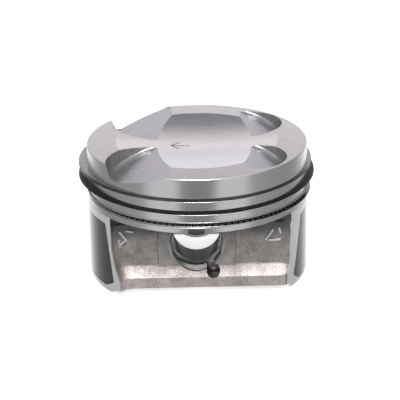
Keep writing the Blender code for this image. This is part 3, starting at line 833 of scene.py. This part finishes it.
def boss(name, side):
    """One wrist pin boss, as a cone along Y with a pillar up to the crown."""
    length = BOSS_OUTER_Y - BOSS_INNER_Y
    cone = cylinder(name, BOSS_OUTER_RADIUS, length, 96, BOSS_INNER_RADIUS)
    cone.rotation_euler = (side * math.pi / 2, 0, 0)
    cone.location = (PIN_X, side * (BOSS_OUTER_Y + BOSS_INNER_Y) / 2, level(PIN_DEPTH))
    rows = []
    for i in range(PILLAR_STEPS + 1):
        t = i / PILLAR_STEPS
        flare = (1 - t) ** 2
        near_half = (PILLAR_HALF_WIDTH + PILLAR_FLARE * flare) * MM
        rows.append((PILLAR_TOP + PILLAR_RUN * t, near_half, PILLAR_REACH * flare * MM))
    rows.append((PIN_DEPTH, PILLAR_FOOT_HALF_WIDTH, 0.0))
    sections = []
    for depth, near_half, reach in rows:
        near, far_half = BOSS_INNER_Y - reach, near_half + PILLAR_SPREAD
        far_edge = ((far_half, BOSS_OUTER_Y), (-far_half, BOSS_OUTER_Y))
        outline = ((-near_half, near), (near_half, near), *far_edge)
        sections.append([(PIN_X + x, side * y, level(depth)) for x, y in outline])
    return cone, loft(f"{name}_pillar", sections)


def between_walls():
    """The space between the two walls' inner faces, which step out low down as the walls do."""
    rows = [
        (-LARGE, 0.0),
        *lip_rows(),
        (WALL_DEPTH - WALL_FOOT_CHAMFER, LIP_REACH),
        (WALL_DEPTH, LIP_REACH + WALL_FOOT_CHAMFER),
        (LARGE + LIP_DEPTH, LIP_REACH + WALL_FOOT_CHAMFER),
    ]
    sections = []
    for depth, extra in rows:
        left = wall_distance(-LARGE, extra) - WALL_THICKNESS
        right = wall_distance(LARGE, extra) - WALL_THICKNESS
        outline = ((-LARGE, -left), (LARGE, -right), (LARGE, right), (-LARGE, left))
        sections.append([(x, y, level(depth)) for x, y in outline])
    return loft("between_walls", sections)


def cavity():
    """The hollow under the crown, between the walls and the skirts, less the bosses."""
    skirt = SKIRT_RADIUS - SKIRT_WALL
    profile = [(0.0, level(CROWN_UNDERSIDE)), (CAVITY_FLAT_RADIUS, level(CROWN_UNDERSIDE))]
    for i in range(1, CAVITY_DOME_STEPS + 1):
        angle = math.pi / 2 * i / CAVITY_DOME_STEPS
        radius = CAVITY_FLAT_RADIUS + (BELT_INSIDE_RADIUS - CAVITY_FLAT_RADIUS) * math.sin(angle)
        profile.append((radius, level(CROWN_UNDERSIDE + CAVITY_DOME_DROP * (1 - math.cos(angle)))))
    for i in range(CAVITY_EASE_STEPS + 1):
        t = i / CAVITY_EASE_STEPS
        radius = BELT_INSIDE_RADIUS + (skirt - BELT_INSIDE_RADIUS) * (t * t * (3 - 2 * t))
        profile.append((radius, level(CAVITY_EASE_DEPTH + CAVITY_EASE_RUN * t)))
    profile += [(skirt, level(BELOW_DEPTH)), (0.0, level(BELOW_DEPTH))]
    hollow = turned("cavity", profile)
    boolean(hollow, between_walls(), "INTERSECT")
    for side in (-1, 1):
        for solid in boss(f"boss_{'front' if side < 0 else 'back'}", side):
            boolean(hollow, solid)
    return hollow


def wall_trim():
    """Cuts the walls' bottom edge up from the skirts' feet, with a slope at each end."""
    below = BELOW_DEPTH - WALL_DEPTH
    sections = []
    for drop in (0.0, below):
        share = drop / (SKIRT_DEPTH - WALL_DEPTH)
        left = WALL_END_LEFT[0] + (WALL_END_LEFT[1] - WALL_END_LEFT[0]) * share
        right = WALL_END_RIGHT[0] + (WALL_END_RIGHT[1] - WALL_END_RIGHT[0]) * share
        outline = ((left, -LARGE), (right, -LARGE), (right, LARGE), (left, LARGE))
        sections.append([(x, y, level(WALL_DEPTH + drop)) for x, y in outline])
    return loft("wall_trim", sections)


def pin_bore():
    """The wrist pin bore, its circlip grooves and the open reliefs at its ends."""
    face = wall_distance(PIN_X) + BOSS_PAD_HEIGHT
    shoulder_end = CIRCLIP_NEAR_Y - SHOULDER_WIDTH
    half = [
        (0.0, LARGE),
        (RELIEF_RADIUS + BORE_CHAMFER, LARGE),
        (RELIEF_RADIUS + BORE_CHAMFER, face),
        (RELIEF_RADIUS, face - BORE_CHAMFER),
        (RELIEF_RADIUS, CIRCLIP_NEAR_Y + CIRCLIP_WIDTH),
        (CIRCLIP_RADIUS, CIRCLIP_NEAR_Y + CIRCLIP_WIDTH),
        (CIRCLIP_RADIUS, CIRCLIP_NEAR_Y),
        (SHOULDER_RADIUS, CIRCLIP_NEAR_Y),
        (SHOULDER_RADIUS, shoulder_end),
        (PIN_RADIUS, shoulder_end - (SHOULDER_RADIUS - PIN_RADIUS)),
        (PIN_RADIUS, BOSS_INNER_Y + BORE_CHAMFER),
        (PIN_RADIUS + BORE_CHAMFER, BOSS_INNER_Y),
    ]
    mirrored = [(radius, -height) for radius, height in reversed(half)]
    cutter = turned("pin_bore", half + mirrored, 128)
    cutter.rotation_euler = (math.pi / 2, 0, 0)
    cutter.location = (PIN_X, 0, level(PIN_DEPTH))
    return cutter


def notch_centre():
    """The middle of each removal notch, as X and Z."""
    x = PIN_X + NOTCH_REACH * math.sin(NOTCH_ANGLE)
    return x, level(PIN_DEPTH) - NOTCH_REACH * math.cos(NOTCH_ANGLE)


def round_off(thing, width, segments):
    """Rounds an object's sharp edges."""
    bevel = thing.modifiers.new("Bevel", "BEVEL")
    bevel.width = width
    bevel.segments = segments
    bevel.limit_method = "ANGLE"


def removal_notch(name, side):
    """The round notch beside one circlip groove, for a hooked tool."""
    length = LARGE - CIRCLIP_NEAR_Y
    notch = cylinder(name, NOTCH_RADIUS, length, 48)
    round_off(notch, NOTCH_ROUNDING, 6)
    notch.rotation_euler = (math.pi / 2, 0, 0)
    x, z = notch_centre()
    notch.location = (x, side * (CIRCLIP_NEAR_Y + length / 2), z)
    return notch


def valve_pocket(name, pocket, side):
    """A disc-ended cutter square to one valve's axis, with a filleted lower edge."""
    centre_x, centre_y, radius, slope, zero_x = pocket
    tilt = math.atan(slope)
    cutter = cylinder(name, radius, POCKET_CUTTER_LENGTH, 144)
    cutter.rotation_euler = (0, -tilt, 0)
    up = Vector((-math.sin(tilt), 0, math.cos(tilt)))
    floor = Vector((centre_x, side * centre_y, level(0) + slope * (centre_x - zero_x)))
    cutter.location = floor + up * POCKET_CUTTER_LENGTH / 2
    round_off(cutter, POCKET_FILLET, 14)
    return cutter


def radial_hole(name, radius, depth, degrees, near, far):
    """A hole that points at the piston axis, from one radius to another."""
    hole = cylinder(name, radius, far - near, 40)
    angle = math.radians(degrees)
    hole.rotation_euler = (0, math.pi / 2, angle)
    middle = (near + far) / 2
    hole.location = (middle * math.cos(angle), middle * math.sin(angle), level(depth))
    return hole


def stroke(name, start, end, width):
    """A straight bar as long as a stroke of some plane, its middle there, and its angle."""
    start, end = Vector(start) * MM, Vector(end) * MM
    along = end - start
    half = width / 2
    corner = Vector((along.length / 2 + half, half, STROKE_DEPTH))
    bar = box(name, -corner, corner)
    middle = (start + end) / 2
    return bar, middle, math.atan2(along.y, along.x)


def dish_arrow():
    """The stamped arrow in the dish that shows which way round the piston goes."""
    for i, (start, end) in enumerate(ARROW):
        bar, middle, turn = stroke(f"arrow_{i}", start, end, ARROW_WIDTH)
        bar.rotation_euler = (0, 0, turn)
        bar.location = (middle.x, middle.y, STROKE_DEPTH - ARROW_DEPTH)
        yield bar


def cast_marks(side):
    """Plain raised strokes in the casting, high on one wall."""
    for i, (start, end) in enumerate(CAST_MARKS):
        bar, middle, turn = stroke(f"cast_mark_{side}_{i}", start, end, CAST_MARK_WIDTH)
        round_off(bar, CAST_MARK_BEVEL, 3)
        out = wall_distance(middle.x) + CAST_MARK_HEIGHT - STROKE_DEPTH
        bar.matrix_world = (
            Matrix.Translation((middle.x, side * out, level(middle.y)))
            @ Matrix.Rotation(math.pi / 2, 4, "X")
            @ Matrix.Rotation(-turn, 4, "Z")
        )
        yield bar


def land_notch(name, side):
    """The slot through the lowest land above one pin bore."""
    near, far = sorted((side * LAND_NOTCH_NEAR_Y, side * LARGE))
    half = LAND_NOTCH_WIDTH / 2
    low = (PIN_X - half, near, level(BELT_DEPTH + LAND_NOTCH_OVERLAP))
    return box(name, low, (PIN_X + half, far, level(LAND_NOTCH_DEPTH)))


def cut_body():
    body = turned("body", body_profile())
    for side, word in ((-1, "front"), (1, "back")):
        boolean(body, side_recess(f"recess_{word}", side))
        boolean(body, belt_undercut(f"undercut_{word}", side))
        boolean(body, land_notch(f"land_notch_{word}", side))
    boolean(body, cavity())
    for side in (-1, 1):
        for mark in cast_marks(side):
            boolean(body, mark, "UNION")
    for groove in dish_arrow():
        boolean(body, groove)
    boolean(body, wall_trim())
    boolean(body, pin_bore())
    for side, word in ((-1, "front"), (1, "back")):
        boolean(body, removal_notch(f"removal_notch_{word}", side))
        boolean(body, valve_pocket(f"intake_pocket_{word}", INTAKE_POCKET, side))
        boolean(body, valve_pocket(f"exhaust_pocket_{word}", EXHAUST_POCKET, side))
    oil_top, oil_height, oil_root = GROOVES[2]
    rows = [(DRAIN_RADIUS, oil_top + oil_height / 2, angle, oil_root + 1 * MM) for angle in DRAIN_ANGLES]
    rows += [(LAND_DRAIN_RADIUS, LAND_DRAIN_DEPTH, angle, LARGE) for angle in LAND_DRAIN_ANGLES]
    for i, (radius, depth, degrees, far) in enumerate(rows):
        boolean(body, radial_hole(f"drain_{i}", radius, depth, degrees, DRAIN_NEAR_RADIUS, far))
    settle(body)
    return body


def on_cast_mark(x, depth):
    """Whether a place on a wall lies within a raised stroke."""
    place = Vector((x, depth)) / MM
    for start, end in CAST_MARKS:
        start, along = Vector(start), Vector(end) - Vector(start)
        share = (place - start).dot(along) / along.length_squared
        nearest = start + along * min(1.0, max(0.0, share))
        if (place - nearest).length < CAST_MARK_REACH:
            return True
    return False


def crown_finish(radius, depth, normal):
    """The finish of a face on top of the piston, or None if it lies elsewhere."""
    # The stamped arrow's grooves take the darker pocket wall colour, as painted shade.
    if radius < ARROW_REACH and DISH_DEPTH + SLIGHT < depth < CROWN_UNDERSIDE / 2:
        return "pocket_wall_painted_shade"
    if depth >= CROWN_UNDERSIDE - 1 * MM or radius >= LAND_RADIUS - SLIGHT or normal.z <= -0.2:
        return None
    inside = radius < GROOVES[2][2]
    if normal.z > LEVEL_LEAN and radius > DISH_RADIUS + SLIGHT and depth < RIM_FALL + SLIGHT:
        return "faced_rim"
    if depth < DISH_DEPTH + SLIGHT and normal.z > CROWN_LEAN and inside:
        return "milled_aluminium"
    if radius > LAND_RADIUS - RIM_CHAMFER and depth < RIM_FALL + RIM_CHAMFER + SLIGHT:
        return "turned_aluminium"
    if inside or abs(normal.z) < LEVEL_LEAN:
        # Pocket walls and fillets get a darker colour than the floors, as painted shade.
        return "pocket_aluminium" if normal.z > POCKET_FLOOR_LEAN else "pocket_wall_painted_shade"
    return None


def bore_finish(out, normal, corners):
    """The finish of a face in or beside a pin bore, or None if it lies elsewhere."""
    # Near black in the bore and circlip groove is painted shade, the near white reliefs are painted light,
    # and the grey notch is painted shade.
    from_pin = [math.hypot(c.x - PIN_X, c.z - level(PIN_DEPTH)) for c in corners]
    if max(from_pin) < PIN_RADIUS + SLIGHT:
        return "bored_aluminium_painted_light_and_shade"
    if max(from_pin) < CIRCLIP_RADIUS + EDGE and out < RELIEF_END:
        in_groove = CIRCLIP_NEAR_Y < out < CIRCLIP_NEAR_Y + CIRCLIP_WIDTH
        at_root = abs(normal.y) < 0.5 and min(from_pin) > CIRCLIP_RADIUS - SLIGHT
        return "bored_aluminium_painted_light_and_shade" if in_groove and at_root else "relief_painted_light"
    x, z = notch_centre()
    from_notch = max(math.hypot(c.x - x, c.z - z) for c in corners)
    if from_notch < NOTCH_RADIUS + SLIGHT and CIRCLIP_NEAR_Y - SLIGHT < out < WALL_OUT + LIP_REACH:
        return "notch_painted_shade"
    return None


def side_finish(place, radius, depth, normal):
    """The finish of any other face: the belt, the skirts, the walls and the inside."""
    x, out = place.x, abs(place.y)
    if abs(out - BOSS_INNER_Y) < EDGE and abs(normal.y) > 0.9 and depth > PIN_DEPTH - PIN_RADIUS:
        return "milled_aluminium"
    if radius > GROOVES[2][2] - EDGE and depth <= BELT_DEPTH - 0.01 * MM:
        return "turned_aluminium"
    raised = wall_distance(x) + CAST_MARK_HEIGHT - CAST_MARK_BEVEL - SLIGHT
    # The raised cast strokes take the brighter skirt finish, as a painted highlight.
    if radius > SKIRT_RADIUS - SKIRT_SKIN or on_cast_mark(x, depth) and out > raised:
        return "skirt_aluminium_and_painted_highlight"
    lip = LIP_REACH if depth > LIP_DEPTH - 0.5 * MM else 0.0
    # The inside of the casting gets a darker colour, as painted shade in the hollow.
    if out < WALL_OUT - 1 * MM + lip and normal.z > -0.9:
        return "cast_inside_painted_shade"
    return "cast_aluminium"


def body_finish(face, corners):
    """The finish of the tool that made one face of the body, from its place and direction. Some finishes
    carry painted light and shade.
    """
    place, normal = face.center, face.normal
    radius, depth = math.hypot(place.x, place.y), DISH_DEPTH - place.z
    return (
        crown_finish(radius, depth, normal)
        or bore_finish(abs(place.y), normal, corners)
        or side_finish(place, radius, depth, normal)
    )


def paint_body(body):
    """Gives each face its finish."""
    materials = (
        turned_aluminium(),
        # The skirt's turned finish, also given to the raised cast strokes as a painted highlight
        turned_aluminium("skirt_aluminium_and_painted_highlight", 0.34, 0.008 * MM, 0.74),
        milled_aluminium(),
        milled_aluminium("faced_rim", 0.20, (0.72, 0.71, 0.72)),
        pocket_aluminium(),
        # Pocket walls: a darker copy of the pocket finish, as painted shade
        pocket_aluminium("pocket_wall_painted_shade", (0.50, 0.49, 0.50), 0.07 * MM),
        # The outer cast walls: painted light low down and painted shade under the ring belt
        cast_aluminium("cast_aluminium", (0.50, 0.475, 0.462), WALL_PAINTED_LIGHT_AND_SHADE),
        # The inside of the casting: a darker copy of the cast finish, as painted shade
        cast_aluminium("cast_inside_painted_shade", (0.30, 0.29, 0.285), INSIDE_PAINTED_SHADE),
        # Copies of one bored finish: near black as painted shade in the bore, near white as painted light
        # on the reliefs, grey as painted shade in the notch
        bored_aluminium_painted_light_and_shade("bored_aluminium_painted_light_and_shade", (0.028, 0.027, 0.030)),
        bored_aluminium_painted_light_and_shade("relief_painted_light", (0.97, 0.96, 0.95)),
        bored_aluminium_painted_light_and_shade("notch_painted_shade", (0.34, 0.33, 0.335)),
    )
    slots = {}
    for slot, material in enumerate(materials):
        body.data.materials.append(material)
        slots[material.name] = slot
    vertices = body.data.vertices
    for face in body.data.polygons:
        corners = [vertices[i].co for i in face.vertices]
        face.material_index = slots[body_finish(face, corners)]


def ring_line(radius, gap, front, shift_x, turn):
    """Centre line of a split ring that has sprung open to its free gap and sits against the back.

    A ring of even section that presses evenly on a bore relaxes to this shape.
    """
    spread = gap / (3 * math.pi)
    shift = front - spread
    line = []
    for i in range(RING_STEPS + 1):
        a = -math.pi + 2 * math.pi * i / RING_STEPS
        out = radius + spread * (1 + 0.5 * a * math.sin(a)) + shift * math.cos(a)
        along = -spread * (a + 0.5 * (math.sin(a) - a * math.cos(a))) - shift * math.sin(a)
        b = a + turn
        x = out * math.sin(b) + along * math.cos(b) + shift_x
        line.append(Vector((x, -out * math.cos(b) + along * math.sin(b), 0.0)))
    return line


def split_ring(name, node, ring, section):
    """A split ring in its CAD node's place. Section holds (share of thickness, share of height)."""
    low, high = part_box(node)
    middle, height = (low[2] + high[2]) / 2, high[2] - low[2]
    thickness, *free_shape = ring
    line = ring_line(LAND_RADIUS - thickness / 2, *free_shape)
    sections = []
    for i, point in enumerate(line):
        ahead = line[min(i + 1, RING_STEPS)] - line[max(i - 1, 0)]
        outward = Vector((ahead.y, -ahead.x, 0)).normalized() * thickness / 2
        centre = point + Vector((0, 0, middle))
        upward = Vector((0, 0, height / 2))
        sections.append([centre + outward * out + upward * up for out, up in section])
    return loft(name, sections)


def barrel_section(corner, crown, steps=6):
    """A ring section in shares of half its size: chamfered corners and an outer face bowed by crown."""
    out_corner, up_corner = corner
    outer = []
    for i in range(steps + 1):
        up = (1 - up_corner) * (1 - 2 * i / steps)
        outer.append((1 - crown * up * up, up))
    return (
        [(1 - crown - out_corner, 1.0)]
        + outer
        + [(1 - crown - out_corner, -1.0), (-1 + out_corner, -1.0), (-1, -1 + up_corner)]
        + [(-1, 1 - up_corner), (-1 + out_corner, 1.0)]
    )


def napier_section():
    """The second ring: a tapered face with a hook cut under it to scrape oil."""
    face = [(0.90, 1.0), (0.945, 0.88), (1.0, -0.25), (0.99, -0.36)]
    hook = [(0.74, -0.44), (0.70, -0.60), (0.70, -0.92), (0.66, -1.0)]
    back = [(-0.95, -1.0), (-1.0, -0.88), (-1.0, 0.88), (-0.95, 1.0)]
    return face + hook + back


def rail_section(steps=8):
    """A thin rail with a fully rounded outer edge."""
    section = []
    for i in range(steps + 1):
        angle = math.pi / 2 - math.pi * i / steps
        section.append((0.84 + 0.16 * math.cos(angle), math.sin(angle)))
    return section + [(-0.97, -1.0), (-1.0, -0.7), (-1.0, 0.7), (-0.97, 1.0)]


def expander(name, node):
    """One strip of sheet folded up and down all round, so that windows show between the rails."""
    low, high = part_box(node)
    middle, half = (low[2] + high[2]) / 2, (high[2] - low[2] - EXPANDER_SHEET) / 2
    inner, outer = EXPANDER_RADII
    bm = bmesh.new()
    rows = []
    for k in range(EXPANDER_WAVES):
        for share, up in EXPANDER_FOLD:
            turn = 2 * math.pi * (k + share) / EXPANDER_WAVES
            z = middle + half * up
            radii = (inner, (inner + outer) / 2, outer)
            rows.append([bm.verts.new((a * math.cos(turn), a * math.sin(turn), z)) for a in radii])
    for k, row in enumerate(rows):
        after = rows[(k + 1) % len(rows)]
        for i in range(len(row) - 1):
            bm.faces.new((row[i], row[i + 1], after[i + 1], after[i]))
    thing = from_bmesh(name, bm)
    sheet = thing.modifiers.new("Solidify", "SOLIDIFY")
    sheet.thickness = EXPANDER_SHEET
    sheet.offset = 0
    settle(thing)
    return thing


def coating(name, rows, side):
    """A thin skin printed on one skirt, with its outline's corners rounded."""
    middle = 0.0 if side > 0 else 180.0
    depths = [depth for _, depth in rows]
    angles = [angle for angle, _ in rows]
    top, bottom = depths[0], depths[-1]
    bm = bmesh.new()
    grid = []
    for i in range(COATING_LINES + 1):
        t = i / COATING_LINES
        crowded = t - COATING_CROWDING * math.sin(2 * math.pi * t) / (2 * math.pi)
        depth = top + (bottom - top) * crowded
        reach = float(np.interp(depth, depths, angles))
        for end in (top, bottom):
            gone = abs(depth - end)
            if gone < COATING_CORNER:
                sag = COATING_CORNER - math.sqrt(max(COATING_CORNER**2 - (COATING_CORNER - gone) ** 2, 0))
                reach -= math.degrees(sag * MM / SKIRT_RADIUS)
        row = []
        for j in range(COATING_COLUMNS + 1):
            angle = math.radians(middle + reach * (2 * j / COATING_COLUMNS - 1))
            place = (math.cos(angle) * SKIRT_RADIUS, math.sin(angle) * SKIRT_RADIUS, level(depth * MM))
            row.append(bm.verts.new(place))
        grid.append(row)
    for upper, lower in zip(grid, grid[1:]):
        for j in range(COATING_COLUMNS):
            bm.faces.new((upper[j], lower[j], lower[j + 1], upper[j + 1]))
    mesh = bpy.data.meshes.new(name)
    bm.to_mesh(mesh)
    bm.free()
    skin = add_object(name, mesh)
    solid = skin.modifiers.new("Solidify", "SOLIDIFY")
    solid.thickness = 2 * COATING_THICKNESS
    solid.offset = 0
    settle(skin)
    return skin


def finish_piece(piece, node, body, material=None, degrees=SHARP_DEGREES):
    if material is not None:
        piece.data.materials.append(material)
    soften(piece, degrees)
    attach(piece, body)
    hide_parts(node)


# ---------------------------------------------------------------- the scene

add_camera()
add_world()
add_floor()
add_top_light()
bpy.context.scene.view_settings.view_transform = "Standard"

body = cut_body()
paint_body(body)
finish_piece(body, "piston_body", "piston")

for name, rows, side in (
    ("intake_side", INTAKE_COATING, -1),
    ("exhaust_side", EXHAUST_COATING, 1),
):
    skin = coating(f"{name}_graphite", rows, side)
    finish_piece(skin, f"{name}_coating", "piston", graphite_coating(), 30)

top_ring = split_ring("top_ring", "top_compression_ring", TOP_RING, barrel_section((0.06, 0.16), 0.02))
# The top ring's outer face is painted near black for the shade in its groove; its flat top and bottom keep
# a plain steel tone.
top_ring.data.materials.append(ring_steel("nitrided_steel", (0.12, 0.118, 0.12), 0.32))
top_ring.data.materials.append(ring_steel("ground_steel", (0.50, 0.49, 0.49), 0.28))
for face in top_ring.data.polygons:
    face.material_index = int(abs(face.normal.z) > 0.95)
finish_piece(top_ring, "top_compression_ring", "top_ring", degrees=20)
second_ring = split_ring("second_ring", "second_compression_ring", SECOND_RING, napier_section())
finish_piece(
    second_ring, "second_compression_ring", "second_ring",
    ring_steel("phosphated_iron", (0.055, 0.054, 0.057), 0.4), 20,
)
for word, ring in (("upper", UPPER_RAIL), ("lower", LOWER_RAIL)):
    rail = split_ring(f"{word}_rail", f"oil_ring_{word}_rail", ring, rail_section())
    finish_piece(
        rail, f"oil_ring_{word}_rail", f"{word}_rail",
        ring_steel(f"{word}_rail_steel", (0.70, 0.70, 0.72), 0.2), 30,
    )
spring = expander("expander", "oil_ring_expander")
finish_piece(
    spring, "oil_ring_expander", "expander",
    ring_steel("expander_steel", (0.30, 0.30, 0.30), 0.35), 30,
)

for cutter in cutters:
    bpy.data.objects.remove(cutter)
